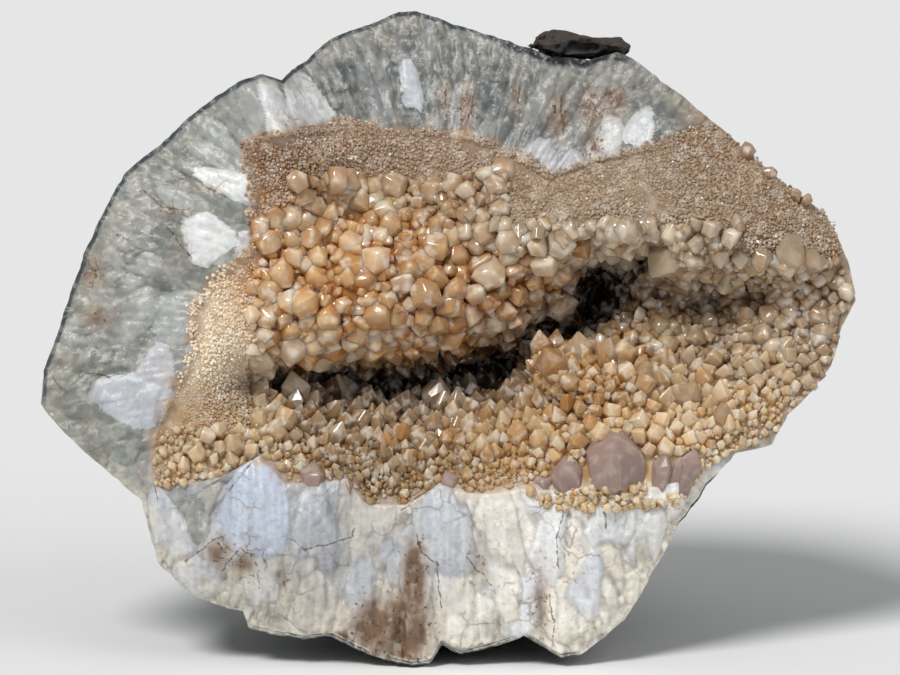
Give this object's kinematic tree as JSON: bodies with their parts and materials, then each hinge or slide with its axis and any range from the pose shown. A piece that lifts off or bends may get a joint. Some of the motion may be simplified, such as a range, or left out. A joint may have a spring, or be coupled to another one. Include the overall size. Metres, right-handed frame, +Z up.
{
  "type": "quartz geode",
  "caption": "Broken piece of a large quartz geode: thick milky wall, dark outer skin, and a hollow lined with honey-coloured crystals, standing on a small flat spot",
  "frame": {"origin": "centre of the bounding box in X and Y, on the ground in Z", "axes": "+X to the right along the broken face, +Y to the back, +Z up; the hollow looks to -Y"},
  "size_m": [0.2989, 0.1523, 0.2322],
  "materials": {
    "milky_quartz": "broken, milky and translucent",
    "honey_crystals": "glossy, translucent crystal faces",
    "host_rock": "rough and pitted"
  },
  "bodies": {
    "root": {"quartz_wall": "milky_quartz", "crystal_crust": "honey_crystals", "host_rock": "host_rock"}
  },
  "joints": []
}
